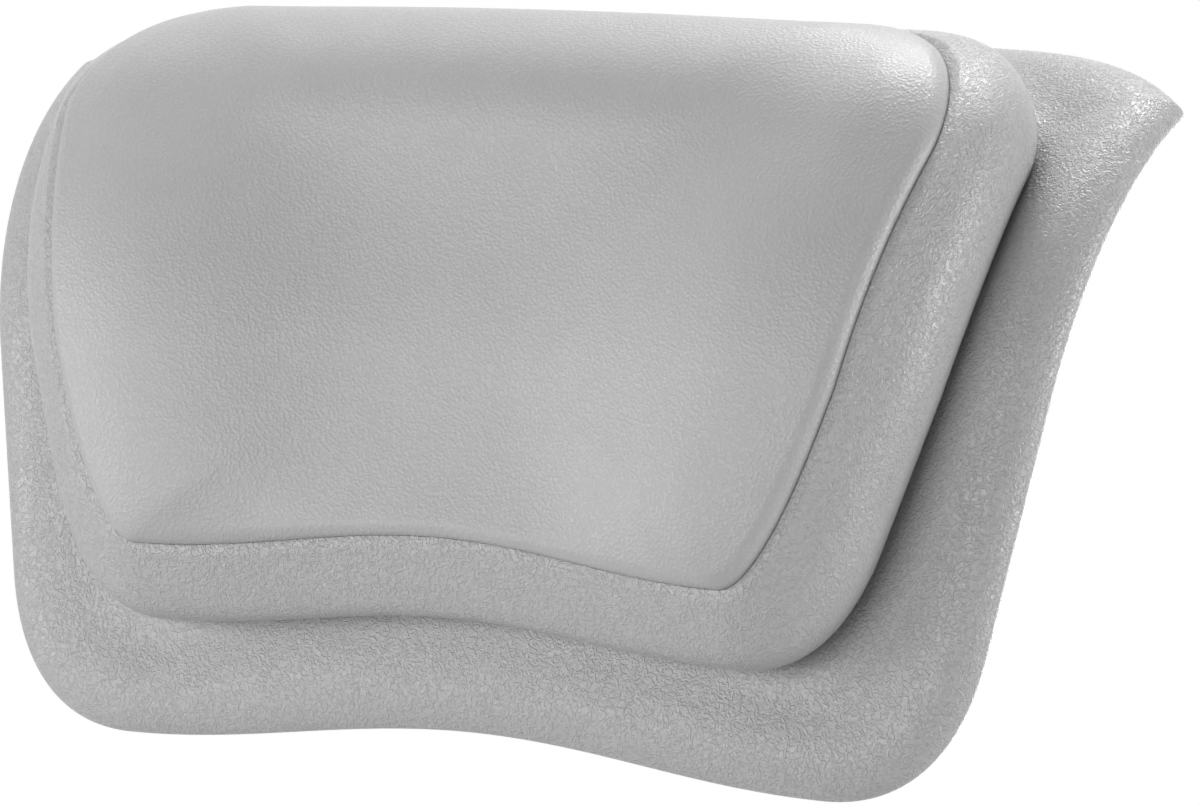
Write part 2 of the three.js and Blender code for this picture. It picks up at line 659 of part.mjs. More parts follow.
const pillow = new THREE.Group();
pillow.add(namedMesh('base_flange', toGeometry(flange), 'flange'));
pillow.add(namedMesh('body_collar', toGeometry(collar), 'collar'));
pillow.add(namedMesh('head_pad', padGeometry(0), 'pad'));
pillow.add(namedMesh('neck_core', toGeometry(core), 'core'));
pillow.add(namedMesh('cup_plate', plateGeometry(0, stations, ARC_STEPS), 'plate'));

// Each station holds a bush and a cup on one axis; the upper cups' tabs point up
for (const { name, x, z, upper } of stations) {
  const station = new THREE.Group();
  station.position.set(x, 0, z);
  station.rotation.y = upper ? Math.PI : 0;
  station.add(namedMesh(`cup_bush_${name}`, bushGeometry(), 'bush'));
  station.add(namedMesh(`suction_cup_${name}`, cupGeometry(), 'cup'));
  pillow.add(station);
}

export default pillow;
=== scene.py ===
import math

import bpy
import numpy as np
from mathutils import Matrix, Vector


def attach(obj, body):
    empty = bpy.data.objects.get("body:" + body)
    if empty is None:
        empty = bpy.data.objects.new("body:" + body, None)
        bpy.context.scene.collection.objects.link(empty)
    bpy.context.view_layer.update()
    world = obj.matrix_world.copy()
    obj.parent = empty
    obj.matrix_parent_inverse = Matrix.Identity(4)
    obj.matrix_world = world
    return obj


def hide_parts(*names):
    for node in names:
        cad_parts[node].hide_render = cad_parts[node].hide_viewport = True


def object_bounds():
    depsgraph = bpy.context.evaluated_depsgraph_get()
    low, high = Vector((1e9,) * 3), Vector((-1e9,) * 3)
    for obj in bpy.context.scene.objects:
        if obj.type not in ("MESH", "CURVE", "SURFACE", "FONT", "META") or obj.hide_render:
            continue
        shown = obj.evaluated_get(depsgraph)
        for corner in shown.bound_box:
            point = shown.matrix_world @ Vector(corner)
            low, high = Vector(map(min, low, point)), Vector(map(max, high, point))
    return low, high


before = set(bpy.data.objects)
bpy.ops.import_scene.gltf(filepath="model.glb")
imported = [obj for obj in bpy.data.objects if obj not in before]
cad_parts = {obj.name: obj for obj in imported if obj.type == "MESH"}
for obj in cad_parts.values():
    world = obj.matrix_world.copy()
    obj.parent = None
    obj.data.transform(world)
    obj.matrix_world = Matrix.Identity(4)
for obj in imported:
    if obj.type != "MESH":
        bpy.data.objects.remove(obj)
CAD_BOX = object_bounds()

# The photograph's frame and the camera that took it
IMAGE_SIZE = (1200, 804)
TARGET_PIXEL = (500.8, 418.5)
FOCAL_PIXELS = 5728.0
CAMERA_TARGET = Vector((0.0, -0.0008, 0.0217))
CAMERA_AZIMUTH = math.radians(29.41)
CAMERA_ELEVATION = math.radians(-1.90)
CAMERA_ROLL = math.radians(4.94)
CAMERA_DISTANCE = 1.668
CAMERA_FAR_LIMIT = 50.0
SENSOR_WIDTH = 36.0

# Gaps between pieces
FIT = 0.0003
WALL_GAP = 0.0008
POCKET_CLEARANCE = 0.0006

# Back face: flat on the wall, then rolled over the rim
CURL_START = 0.1142
CURL_RADIUS = 0.1003

# Base flange
FLANGE_THICKNESS = 0.0074
FLANGE_EDGE = 0.003
FLANGE_ROLL = 0.013
FLANGE_CREST = 0.003
FLANGE_VALLEY = 0.036
FLANGE = dict(foot=0.0, arch=0.0096, lobe=0.1159, half=0.154, lean=0.179, corner=0.0446, draw=0.0057)
EAR_HEIGHT = 0.2162
LIP_CROWN = 0.0618
LIP_POWER = 3.4

# Body collar: the rounded flank between the flange and the head pad
COLLAR = dict(
    foot=0.0346, arch=0.0075, lobe=0.0958, half=0.1215, lean=0.3227, corner=0.0362, draw=0.0238,
    shoulder_start=0.1785, shoulder_width=0.0485, back=0.2221)
COLLAR_NOSE = 0.0207
COLLAR_NOSE_BACK = 0.0131
COLLAR_TUCK = 0.0105
FLANK_REACH = 0.5
FLANK_SLOPE = 0.24
NOSE_RISE = 0.63

# Head pad: its outline, the crease it sits in, and its dished face
PAD = dict(
    foot=0.0563, arch=0.0085, lobe=0.0957, half=0.1087, lean=0.3305, corner=0.0465, draw=0.0039,
    shoulder_start=0.1619, shoulder_width=0.034, back=0.2038)
PAD_THICKNESS = 0.007
PAD_RIM = 0.0038
PAD_RIM_ROUND = 0.0026
PAD_ROLL = 0.0045
PAD_ROLL_START = math.radians(5.0)
RIM_SPREAD = 4
CREASE_CORNER = 0.0414
CREASE_WAIST = 0.0429
CREASE_WAIST_AT = 0.1318
CREASE_DIP = 0.009
CREASE_DIP_REACH = 0.0232
CREASE_DIP_HALF = 0.12
CREASE_GAP = 0.00005
LIP_WIDTH = 0.003
LIP_DEPTH = 0.0003
HOLLOW_AT = 0.116
HOLLOW_HEIGHT = 0.033
BOLSTER_AT = 0.1795
BOLSTER_HEIGHT = 0.0181
BOLSTER_RADIUS = 0.0357
BOLSTER_JOIN = 0.163
DISH_BEND = 1.3
CREST_AT = 0.8
CREST_RISE = 0.003
CREST_BLEND = 0.004
BORDER_BEND = 1.8
PAD_FOOT_CENTRE = PAD["foot"] + PAD["arch"]
PAD_CENTRE = np.array([0.0, (PAD_FOOT_CENTRE + PAD["back"]) / 2])

# Neck core
CORE_LENGTH = 0.205
CORE_WIDTH = 0.032
CORE_FLOOR = 0.015
CORE_ROUND = 0.006
CORE_TOP_ROUND = CORE_ROUND / 4
CORE_GAP = 2 * FIT
CORE_RADIUS = CORE_WIDTH / 2
CORE_REACH = CORE_LENGTH / 2 - CORE_RADIUS

# Suction cups
CUP_COLUMN = 0.080
CUP_LOWER = 0.062
CUP_UPPER = 0.097
CUP_MID = (CUP_LOWER + CUP_UPPER) / 2
CUP_RADIUS = 0.014
CUP_LIP_WIDTH = 0.0024
CUP_LIP_THICKNESS = 0.0011
CUP_LIP_ROUND = 0.0003
CUP_LIP_SLANT = 0.0005
CUP_HOLLOW = 0.0028
CUP_HOLLOW_POWER = 2.6
CUP_HUB_RADIUS = 0.006
CUP_HUB_FOOT_WIDTH = 0.0006
CUP_HUB_FOOT_RISE = 0.0008
CUP_HUB_ROUND = 0.0005
CUP_NECK_RADIUS = 0.003
CUP_NECK_ROUND = 0.0004
CUP_HEAD_RADIUS = 0.0048
CUP_HEAD_THICKNESS = 0.0026
CUP_HEAD_ROUND = 0.0004
CUP_HEAD_POWER = 0.7
CUP_TAB_REACH = 0.0032
CUP_TAB_WIDTH = 0.007
CUP_TAB_THICKNESS = 0.0007
CUP_TAB_LIFT = 0.00002
CUP_AXIS_RADIUS = 1e-5

# The slots that the cups turn in, and the plate and bushes that carry them
POCKET_RADIUS = CUP_RADIUS + CUP_TAB_REACH + POCKET_CLEARANCE
POCKET_ROUND = 0.0012
POCKET_MARGIN = 0.004
PLATE_THICKNESS = 0.0025
PLATE_MARGIN_X = 0.026
PLATE_MARGIN_Z = 0.013
PLATE_BACK = FLANGE_THICKNESS + FIT
PLATE_FRONT = PLATE_BACK + PLATE_THICKNESS
BUSH_FLANGE_RADIUS = 0.0075
BUSH_FLANGE_THICKNESS = 0.0012
BUSH_BACK = PLATE_BACK - FIT - BUSH_FLANGE_THICKNESS
BUSH_FRONT = PLATE_FRONT + FIT + BUSH_FLANGE_THICKNESS
HEAD_BACK = BUSH_FRONT + FIT
HEAD_FRONT = HEAD_BACK + CUP_HEAD_THICKNESS
STATIONS = [
    (f"{row}_{column}", x, height - CUP_MID, row == "upper")
    for row, height in (("upper", CUP_UPPER), ("lower", CUP_LOWER))
    for column, x in (("left", -CUP_COLUMN), ("right", CUP_COLUMN))]

# Where the collar's room for plate, cup heads and core starts to close, and where it has closed
PLATE_ROOM_FADE = (4 * FIT, 12 * FIT)
HEAD_ROOM_FADE = (1.2 * BUSH_FLANGE_RADIUS, 1.8 * BUSH_FLANGE_RADIUS)
CORE_ROOM_FADE = (2 * FIT, 10 * FIT)

# Pulls of the outline curves, as shares of the stretch they shape
ARCH_PULL = 0.364
LOBE_PULL = 0.69
CORNER_PULL = 0.6
SHOULDER_PULL = 0.44

# Steps of the fine meshes along their outlines and round their edges
ARCH_STEPS = 40
CORNER_STEPS = 40
SIDE_STEPS = 60
SHOULDER_STEPS = 40
BACK_STEPS = 30
PAD_RIM_STEPS = 5
PAD_ROLL_STEPS = 16
TUCK_STEPS = 14
FLANK_STEPS = 30
LIP_STEPS = 8
FLANGE_EDGE_STEPS = 9
FLANGE_ROLL_STEPS = 16
FLANGE_CREST_STEPS = 16
POCKET_END_STEPS = 33
POCKET_ROUND_STEPS = 6
CORE_END_STEPS = 25
CORE_RUN_STEPS = 40
CORE_ROUND_STEPS = 7
TURN_STEPS = 96
TAB_STEPS = 25

# Rings of the fine meshes: share of the way at the first ring and at the last, and how many
PAD_UNDER_RINGS = (0.04, 0.94, 16)
PAD_FACE_RINGS = (0.90, 0.012, 80)
COLLAR_UNDER_RINGS = (0.03, 0.985, 40)
COLLAR_SEAT_RINGS = (0.97, 0.03, 48)
FLANGE_BACK_RINGS = (0.02, 0.985, 50)
FLANGE_FRONT_RINGS = (0.975, 0.02, 40)
CUP_HOLLOW_RINGS = (0.08, 1.0, 16)
CUP_DOME_RINGS = (0.1, 1.0, 12)
CUP_HEAD_RINGS = (0.0, 1.0, 8)

# Rings of the neck core, each as a share of the way out
CORE_FLOOR_SHARES = (0.05, 0.3, 0.6)
CORE_TOP_SHARES = (0.97, 0.9, 0.75, 0.6, 0.45, 0.3, 0.15, 0.05)

# Steps over which slopes are measured, and limits that keep moved outlines free of spikes
SIDE_SLOPE_STEP = 0.001
BOLSTER_SLOPE_STEP = 0.0005
MITRE_MOST = 1.5
MITRE_COSINE_LEAST = 0.5
FACING_LEAST = 0.45
SMOOTH_REACH = 12

# Skins: one grey with two embossed grains, rubbed glossier on their tops, and their tops painted paler as a
# painted highlight of glints that also stands for rubbed wear
SKIN_GREY = (0.42, 0.42, 0.42)
COARSE_ROUGHNESS = 0.36
WRINKLE_SIZE = 0.0015
WRINKLE_DETAIL = 1.5
WRINKLE_BEND = 0.5
WRINKLE_LINE = 0.16
WRINKLE_DEPTH = 0.0002
TOOTH_SIZE = WRINKLE_SIZE / 3
TOOTH_SHARE = 0.35
FINE_ROUGHNESS = 0.42
PEBBLE_SIZE = 0.0010
PEBBLE_SMOOTHNESS = 0.6
PEBBLE_DOME = (0.1, 0.7)
PEBBLE_DEPTH = 0.00010
SPECK_SIZE = PEBBLE_SIZE / 2
SPECK_SHARE = 0.4
GRAIN_RANGE = (0.1, 1.2)
RUB_GLOSS = 0.07
# Colour spread of the ridge tops' painted glint highlight (partly rubbed wear) together with the random
# mottle, and the share of it given to the ridge tops
RIDGE_GLINT_AND_MOTTLE_TONE = 0.05
RIDGE_GLINT_SHARE = 0.6
MOTTLE_SIZE = 0.012
MOTTLE_RANGE = (0.2, 0.8)
MOTTLE_SHARE = 0.4

# Middle level of noise, its detail in tone and gloss changes, and the levels between which gloss changes
NOISE_MIDDLE = 0.5
TONE_DETAIL = 4.0
GLOSS_DETAIL = 3.0
GLOSS_RANGE = (0.3, 0.7)

# Sockets of the mix node when it mixes colours
MIX_SHARE = 0
MIX_FIRST = 6
MIX_SECOND = 7
MIX_RESULT = 2

# Soft boxes: name, azimuth and elevation in degrees, width in metres, watts
SOFT_BOXES = [
    ("top_box", -60.0, 75.0, 0.6, 5.0),
    ("back_box", 180.0, 70.0, 0.6, 14.0),
    ("rim_box", 98.0, 4.0, 0.6, 12.0),
    ("front_box", -8.0, -3.0, 0.9, 9.0),
    ("left_box", -56.0, -3.0, 0.6, 6.5),
    ("rear_box", 180.0, 0.0, 0.9, 8.0),
]
BOX_HEIGHT = 0.6
BOX_DISTANCE = 1.3
BOX_AIM = Vector((0.0, 0.0, 0.03))

# World and floor
WHITE = (1.0, 1.0, 1.0, 1.0)
WORLD_STRENGTH = 0.02
FLOOR_DROP = 0.6
FLOOR_HALF = 9.0
FLOOR_GREY = (0.50, 0.50, 0.50)
FLOOR_GLOW = 0.86
FLOOR_SHADE = (0.16, 0.16, 0.16, 1.0)


def ease(t):
    return t * t * (3.0 - 2.0 * t)


def smoothstep(value, low, high):
    return ease(np.clip((value - low) / (high - low), 0.0, 1.0))


def lerp(start, end, share):
    return start + (end - start) * share


def quarter(steps):
    return np.linspace(0.0, math.pi / 2, steps)


def unit(rows):
    return rows / np.linalg.norm(rows, axis=1, keepdims=True)


def curl_turn(s):
    """Angle of the back face at a height along it: none on the wall, then growing over the rim."""
    return np.maximum(0.0, s - CURL_START) / CURL_RADIUS


def place(outline, height):
    """Points u across, s up along the back face and h out from it, in the part's frame."""
    u, s = outline[:, 0], outline[:, 1]
    height = np.broadcast_to(height, u.shape)
    turn = curl_turn(s)
    reach = CURL_RADIUS + height
    y = CURL_RADIUS - reach * np.cos(turn) - WALL_GAP
    z = np.minimum(s, CURL_START) + reach * np.sin(turn) - CUP_MID
    return np.column_stack([u, y, z])


def side_of(tier, s):
    """Half-width of a tier at a height: a straight lean, drawn in where the curl begins."""
    return tier["half"] + tier["lean"] * (s - tier["foot"]) - tier["draw"] * curl_turn(s) ** 2


def bezier(start, pull_start, pull_end, end, steps):
    t = np.linspace(0.0, 1.0, steps + 1)[1:, None]
    start, pull_start, pull_end, end = map(np.array, (start, pull_start, pull_end, end))
    return ((1 - t) ** 3 * start + 3 * (1 - t) ** 2 * t * pull_start
            + 3 * (1 - t) * t ** 2 * pull_end + t ** 3 * end)


def lower_outline(tier, side_top):
    """Right half of a tier's outline up to the top of its side."""
    foot, lobe = tier["foot"], tier["lobe"]
    top = foot + tier["arch"]
    arch_pull = ARCH_PULL * lobe
    corner_top = foot + tier["corner"]
    corner = side_of(tier, corner_top)
    lobe_pull = LOBE_PULL * (side_of(tier, foot) - lobe)
    corner_pull = CORNER_PULL * tier["corner"]
    s = np.linspace(corner_top, side_top, SIDE_STEPS + 1)[1:]
    return np.vstack([
        [[0.0, top]],
        bezier((0.0, top), (arch_pull, top), (lobe - arch_pull, foot), (lobe, foot), ARCH_STEPS),
        bezier((lobe, foot), (lobe + lobe_pull, foot),
               (corner - tier["lean"] * corner_pull, corner_top - corner_pull),
               (corner, corner_top), CORNER_STEPS),
        np.column_stack([side_of(tier, s), s])])


def mirror_outline(half):
    return np.vstack([half, half[-2:0:-1] * [-1.0, 1.0]])


def tier_outline(tier):
    """Closed outline of a cushion tier, with round shoulders and a straight back edge."""
    half = lower_outline(tier, tier["shoulder_start"])
    side, start = half[-1]
    slope = (side - side_of(tier, start - SIDE_SLOPE_STEP)) / SIDE_SLOPE_STEP
    rise = SHOULDER_PULL * (tier["back"] - start)
    flat = side - tier["shoulder_width"]
    shoulder = bezier(
        (side, start), (side + slope * rise, start + rise),
        (flat + SHOULDER_PULL * tier["shoulder_width"], tier["back"]), (flat, tier["back"]),
        SHOULDER_STEPS)
    u = np.linspace(flat, 0.0, BACK_STEPS + 1)[1:]
    back = np.column_stack([u, np.full_like(u, tier["back"])])
    return mirror_outline(np.vstack([half, shoulder, back]))


def flange_outline():
    """Closed outline of the flange, whose back edge is a crowned lip between two ear tips."""
    half = lower_outline(FLANGE, EAR_HEIGHT)
    across = np.cos(quarter(SHOULDER_STEPS + BACK_STEPS + 1)[1:])
    across[-1] = 0.0
    crown = EAR_HEIGHT + LIP_CROWN * (1.0 - across ** LIP_POWER)
    back = np.column_stack([half[-1, 0] * across, crown])
    return mirror_outline(np.vstack([half, back]))


def inset_outline(outline, distance):
    """The outline moved inward along its own normals."""
    into = unit(outline - np.roll(outline, 1, axis=0))
    out = unit(np.roll(outline, -1, axis=0) - outline)
    along = unit(into + out)
    cosine = np.maximum(MITRE_COSINE_LEAST, (along * out).sum(axis=1))
    mitre = np.minimum(MITRE_MOST, 1.0 / cosine)[:, None]
    return outline + np.column_stack([-along[:, 1], along[:, 0]]) * distance * mitre


def inset_toward(outline, centre, depth):
    """The outline moved in by a depth toward a centre, with its steps evened out along it."""
    along = unit(np.roll(outline, -1, axis=0) - np.roll(outline, 1, axis=0))
    inward = unit(centre - outline)
    facing = inward[:, 1] * along[:, 0] - inward[:, 0] * along[:, 1]
    steps = depth / np.maximum(FACING_LEAST, facing)
    near = np.arange(-SMOOTH_REACH, SMOOTH_REACH + 1)
    weights = np.hanning(len(near) + 2)[1:-1]
    total = sum(np.roll(steps, shift) * weight for shift, weight in zip(near, weights))
    smooth = total / weights.sum()
    return outline + inward * smooth[:, None]


def shrink_outline(outline, centre, share):
    return centre + (outline - centre) * share


def side_crease(s):
    away = (s - CREASE_WAIST_AT) / (CREASE_WAIST_AT - PAD["foot"])
    return CREASE_WAIST + (CREASE_CORNER - CREASE_WAIST) * away ** 2


def bolster_height(s):
    """Height of the round bolster, a circle about a centre line above the curled back face."""
    centre = CURL_RADIUS + BOLSTER_HEIGHT
    turn = (s - BOLSTER_AT) / CURL_RADIUS
    aside = centre * np.sin(turn)
    rise = np.sqrt(np.maximum(0.0, BOLSTER_RADIUS ** 2 - aside ** 2))
    return centre * np.cos(turn) + rise - CURL_RADIUS


def back_drop(s):
    """Fall of the crease behind the shoulders, down to the bolster's own surface at the back edge."""
    whole = side_crease(PAD["back"]) + PAD_RIM - bolster_height(PAD["back"])
    share = np.maximum(0.0, s - PAD["shoulder_start"]) / (PAD["back"] - PAD["shoulder_start"])
    return whole * share ** 2


def crease_height(outline):
    """Height of the crease between pad and collar, which dips at the foot and falls at the back."""
    u, s = outline[:, 0], outline[:, 1]
    across = np.maximum(0.0, 1.0 - (u / CREASE_DIP_HALF) ** 2) ** 2
    near = np.exp(-((s - PAD["foot"]) / CREASE_DIP_REACH) ** 2)
    return side_crease(s) - CREASE_DIP * across * near - back_drop(s)


def pad_centre_height(s):
    """Height of the pad's face on the centre line: flared foot, hollow for the head, then the bolster."""
    edge = crease_height(np.array([[0.0, PAD_FOOT_CENTRE]]))[0] + PAD_RIM
    away = (HOLLOW_AT - s) / (HOLLOW_AT - PAD_FOOT_CENTRE)
    foot = HOLLOW_HEIGHT + (edge - HOLLOW_HEIGHT) * away ** 2
    span = BOLSTER_JOIN - HOLLOW_AT
    t = np.clip((s - HOLLOW_AT) / span, 0.0, 1.0)
    above = bolster_height(BOLSTER_JOIN + BOLSTER_SLOPE_STEP)
    below = bolster_height(BOLSTER_JOIN - BOLSTER_SLOPE_STEP)
    slope = (above - below) / (2 * BOLSTER_SLOPE_STEP)
    rise = lerp(HOLLOW_HEIGHT, bolster_height(BOLSTER_JOIN), ease(t))
    rise = rise + slope * span * (t ** 3 - t ** 2)
    return np.where(s < HOLLOW_AT, foot, np.where(s > BOLSTER_JOIN, bolster_height(s), rise))


def pad_face(outline):
    """Height of the pad's face: dished across the hollow, crested along each side, rolled to the rim."""
    u, s = outline[:, 0], outline[:, 1]
    centre = pad_centre_height(s)
    edge = side_crease(s) + PAD_RIM - back_drop(s)
    side = edge + CREST_RISE
    blend = CREST_BLEND * np.log1p(np.exp(-np.abs(centre - side) / CREST_BLEND))
    crest = np.maximum(centre, side) + blend
    across = np.minimum(1.0, np.abs(u) / side_of(PAD, s))
    inner = np.minimum(1.0, across / CREST_AT) ** DISH_BEND
    outer = np.maximum(0.0, across - CREST_AT) / (1.0 - CREST_AT)
    return lerp(centre, crest, ease(inner)) - (crest - edge) * outer ** BORDER_BEND


# The pad's outline, the crease along it, and how far the plain face misses the rim there
PAD_EDGE = tier_outline(PAD)
PAD_CREASE = crease_height(PAD_EDGE)
PAD_MISS = PAD_CREASE + PAD_RIM - pad_face(PAD_EDGE)


def rimmed_face(outline, share):
    """Height of the pad's face where it also runs into the rim at the edge."""
    return pad_face(outline) + PAD_MISS * share ** RIM_SPREAD


def pad_ring(share, drop):
    """A ring of the pad's face, or of a surface below it."""
    outline = shrink_outline(PAD_EDGE, PAD_CENTRE, share)
    return outline, rimmed_face(outline, share) - drop


def new_piece(name, points, faces):
    mesh = bpy.data.meshes.new(name)
    mesh.from_pydata(points.tolist(), [], faces)
    mesh.validate()
    mesh.shade_smooth()
    piece = bpy.data.objects.new(name, mesh)
    bpy.context.scene.collection.objects.link(piece)
    return piece


def ring_mesh(name, rings):
    """A closed smooth mesh through stacked rings of points, capped by a point at each end."""
    count = len(rings[0])
    points = np.vstack([rings[0].mean(axis=0)[None], *rings, rings[-1].mean(axis=0)[None]])
    here = np.arange(count)
    after = (here + 1) % count
    faces = np.column_stack([np.zeros(count, int), 1 + after, 1 + here]).tolist()
    for level in range(len(rings) - 1):
        low = 1 + level * count
        high = low + count
        faces += np.column_stack([low + here, low + after, high + after, high + here]).tolist()
    last = 1 + (len(rings) - 1) * count
    faces += np.column_stack([np.full(count, len(points) - 1), last + here, last + after]).tolist()
    return new_piece(name, points, faces)


def combine_pieces(piece, other, operation):
    """Cuts one closed mesh from another, or joins it on, and removes it."""
    combine = piece.modifiers.new("combine", "BOOLEAN")
    combine.operation = operation
    combine.object = other
    combine.solver = "EXACT"
    graph = bpy.context.evaluated_depsgraph_get()
    mesh = bpy.data.meshes.new_from_object(piece.evaluated_get(graph))
    piece.modifiers.remove(combine)
    piece.data = mesh
    bpy.data.objects.remove(other)


def make_pad():
    """Head pad: a crowned skin with a rolled rim, dished for the head and round over the neck."""
    reach = np.linalg.norm(PAD_EDGE - PAD_CENTRE, axis=1)
    under = PAD_RIM - PAD_THICKNESS

    def under_edge_ring(turn):
        inset = PAD_RIM_ROUND * (1 - math.sin(turn))
        height = under + PAD_RIM_ROUND * (1 - math.cos(turn))
        return place(inset_outline(PAD_EDGE, inset), PAD_CREASE + height)

    def rolled_ring(turn):
        inset = PAD_ROLL * (1 - math.cos(turn) / math.cos(PAD_ROLL_START))
        outline = inset_toward(PAD_EDGE, PAD_CENTRE, inset)
        fall = PAD_RIM * (1 - math.sin(turn)) / (1 - math.sin(PAD_ROLL_START))
        share = np.linalg.norm(outline - PAD_CENTRE, axis=1) / reach
        return place(outline, rimmed_face(outline, share) - fall)

    rings = [place(*pad_ring(share, PAD_THICKNESS)) for share in np.linspace(*PAD_UNDER_RINGS)]
    rings += [under_edge_ring(turn) for turn in quarter(PAD_RIM_STEPS)]
    rings += [rolled_ring(turn) for turn in np.linspace(PAD_ROLL_START, math.pi / 2, PAD_ROLL_STEPS)]
    rings += [place(*pad_ring(share, 0.0)) for share in np.linspace(*PAD_FACE_RINGS)]
    return ring_mesh("head_pad_skin", rings)


def plate_room(outline):
    """Height of the room in the collar's underside for the plate, the bushes and the cup heads."""
    u, s = outline[:, 0], outline[:, 1]
    half_width = CUP_COLUMN + PLATE_MARGIN_X
    half_height = (CUP_UPPER - CUP_LOWER) / 2 + PLATE_MARGIN_Z
    beyond = np.maximum(np.abs(u) - half_width, np.abs(s - CUP_MID) - half_height)
    height = lerp(PLATE_BACK, PLATE_FRONT + FIT, 1.0 - smoothstep(beyond, *PLATE_ROOM_FADE))
    for _, x, z, _ in STATIONS:
        away = np.hypot(u - x, s - CUP_MID - z)
        share = 1.0 - smoothstep(away, *HEAD_ROOM_FADE)
        height = np.maximum(height, lerp(PLATE_BACK, HEAD_FRONT + FIT, share))
    return height


def core_room(outline, height):
    """The collar's seat lowered where the neck core lies in it."""
    aside = np.maximum(0.0, np.abs(outline[:, 0]) - CORE_REACH)
    beyond = np.hypot(aside, outline[:, 1] - BOLSTER_AT) - CORE_RADIUS
    open_share = 1.0 - smoothstep(beyond, *CORE_ROOM_FADE)
    return lerp(height, np.minimum(height, CORE_FLOOR - FIT), open_share)


def flank_point(t):
    """Shares of the way out and of the height on the flank, from the crease at 0 to the nose at 1."""
    out = 3 * (1 - t) ** 2 * t * FLANK_REACH + 3 * (1 - t) * t ** 2 + t ** 3
    up = (1 - t) ** 3 + 3 * (1 - t) ** 2 * t * (1 - FLANK_SLOPE) + 3 * (1 - t) * t ** 2 * NOSE_RISE
    return out, up


def make_collar():
    """Collar: tucked foot, bull nose and a full flank up to the crease, with the pad's seat inside."""
    nose = tier_outline(COLLAR)
    toward_back = smoothstep(nose[:, 1], PAD["shoulder_start"], COLLAR["back"])
    nose_height = lerp(COLLAR_NOSE, COLLAR_NOSE_BACK, toward_back)
    foot = FLANGE_THICKNESS / 2
    floor = FLANGE_THICKNESS + FIT
    rings = []
    for share in np.linspace(*COLLAR_UNDER_RINGS):
        outline = shrink_outline(inset_outline(nose, COLLAR_TUCK), PAD_CENTRE, share)
        rings.append(place(outline, plate_room(outline)))
    for turn in np.linspace(math.pi / 2, 0.0, TUCK_STEPS):
        height = lerp(nose_height, foot, math.sin(turn))
        outline = inset_outline(nose, COLLAR_TUCK * (1 - math.cos(turn)))
        rings.append(place(outline, np.maximum(height, floor)))
    lip = inset_outline(PAD_EDGE, -CREASE_GAP - LIP_WIDTH)
    for t in np.linspace(1.0, 0.0, FLANK_STEPS)[1:]:
        out, up = flank_point(t)
        rings.append(place(lerp(lip, nose, out), lerp(nose_height, PAD_CREASE, up)))
    for turn in quarter(LIP_STEPS)[1:]:
        outline = inset_outline(PAD_EDGE, -CREASE_GAP - LIP_WIDTH * (1 - math.sin(turn)))
        rings.append(place(outline, PAD_CREASE - LIP_DEPTH * (1 - math.cos(turn))))
    seat = PAD_THICKNESS + FIT
    rings.append(place(inset_outline(PAD_EDGE, -CREASE_GAP), PAD_CREASE + PAD_RIM - seat))
    for share in np.linspace(*COLLAR_SEAT_RINGS):
        outline, height = pad_ring(share, seat)
        rings.append(place(outline, core_room(outline, height)))
    return ring_mesh("collar_skin", rings)


def flange_front(depth):
    """Height of the flange's front at a depth in from its edge: a roll, a crest, then the plain sheet."""
    crest = FLANGE_THICKNESS + FLANGE_CREST
    if depth < FLANGE_ROLL:
        return lerp(FLANGE_EDGE, crest, math.sqrt(1 - (1 - depth / FLANGE_ROLL) ** 2))
    fall = min(1.0, (depth - FLANGE_ROLL) / (FLANGE_VALLEY - FLANGE_ROLL))
    return FLANGE_THICKNESS + FLANGE_CREST * (1 + math.cos(math.pi * fall)) / 2


def make_flange():
    """Flange: a soft sheet with a full rolled edge, and a round-edged slot for each column of cups."""
    edge = flange_outline()
    centre = np.array([0.0, CURL_START])
    back = inset_toward(edge, centre, FLANGE_EDGE)
    rings = [place(shrink_outline(back, centre, share), 0.0) for share in np.linspace(*FLANGE_BACK_RINGS)]
    for turn in quarter(FLANGE_EDGE_STEPS):
        rings.append(place(lerp(back, edge, math.sin(turn)), FLANGE_EDGE * (1 - math.cos(turn))))
    depths = [FLANGE_ROLL * (1 - math.cos(turn)) for turn in quarter(FLANGE_ROLL_STEPS)[1:]]
    depths += np.linspace(FLANGE_ROLL, FLANGE_VALLEY, FLANGE_CREST_STEPS)[1:].tolist()
    for depth in depths:
        front = inset_toward(edge, centre, depth)
        rings.append(place(front, flange_front(depth)))
    for share in np.linspace(*FLANGE_FRONT_RINGS):
        rings.append(place(shrink_outline(front, centre, share), FLANGE_THICKNESS))
    piece = ring_mesh("flange_skin", rings)
    for x in (-CUP_COLUMN, CUP_COLUMN):
        combine_pieces(piece, make_pocket(x), "DIFFERENCE")
    return piece


def make_pocket(x):
    """The cutter of one slot: straight through the sheet, flared where it meets each face."""
    ends = np.linspace(0.0, math.pi, POCKET_END_STEPS)
    arc = np.column_stack([np.cos(ends), np.sin(ends)])
    flare = [(POCKET_ROUND * (1 - math.sin(turn)), POCKET_ROUND * (1 - math.cos(turn)))
             for turn in quarter(POCKET_ROUND_STEPS)]
    profile = [(POCKET_ROUND, -POCKET_MARGIN)] + flare
    profile += [(grow, FLANGE_THICKNESS - height) for grow, height in reversed(flare)]
    profile.append((POCKET_ROUND, FLANGE_THICKNESS + POCKET_MARGIN))
    rings = []
    for grow, height in profile:
        radius = POCKET_RADIUS + grow
        outline = np.vstack([arc * radius + [x, CUP_UPPER], -arc * radius + [x, CUP_LOWER]])
        rings.append(place(outline, height))
    return ring_mesh("pocket_cutter", rings)


